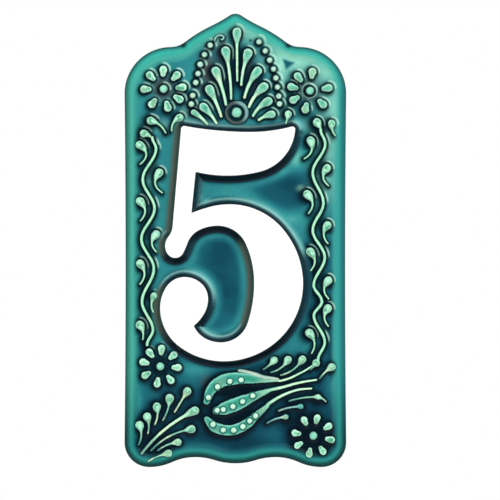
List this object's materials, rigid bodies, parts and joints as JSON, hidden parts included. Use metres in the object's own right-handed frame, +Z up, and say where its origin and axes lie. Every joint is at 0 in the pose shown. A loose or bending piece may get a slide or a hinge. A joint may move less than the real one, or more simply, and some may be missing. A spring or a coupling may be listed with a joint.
{
  "type": "house number plaque",
  "caption": "Upright glazed ceramic door plaque with an ogee top, rolled rim, raised numeral and raised floral relief, glued to a wall by its flat back.",
  "frame": {"origin": "middle of the flat back face", "axes": "+Z up along the plaque's height, +Y into the wall, front faces -Y, X across the width"},
  "size_m": [0.098, 0.0102, 0.2],
  "materials": {
    "glazed_clay": "gloss turquoise glaze, white numeral, bare clay back"
  },
  "bodies": {
    "root": {"plaque": "glazed_clay"}
  },
  "joints": []
}
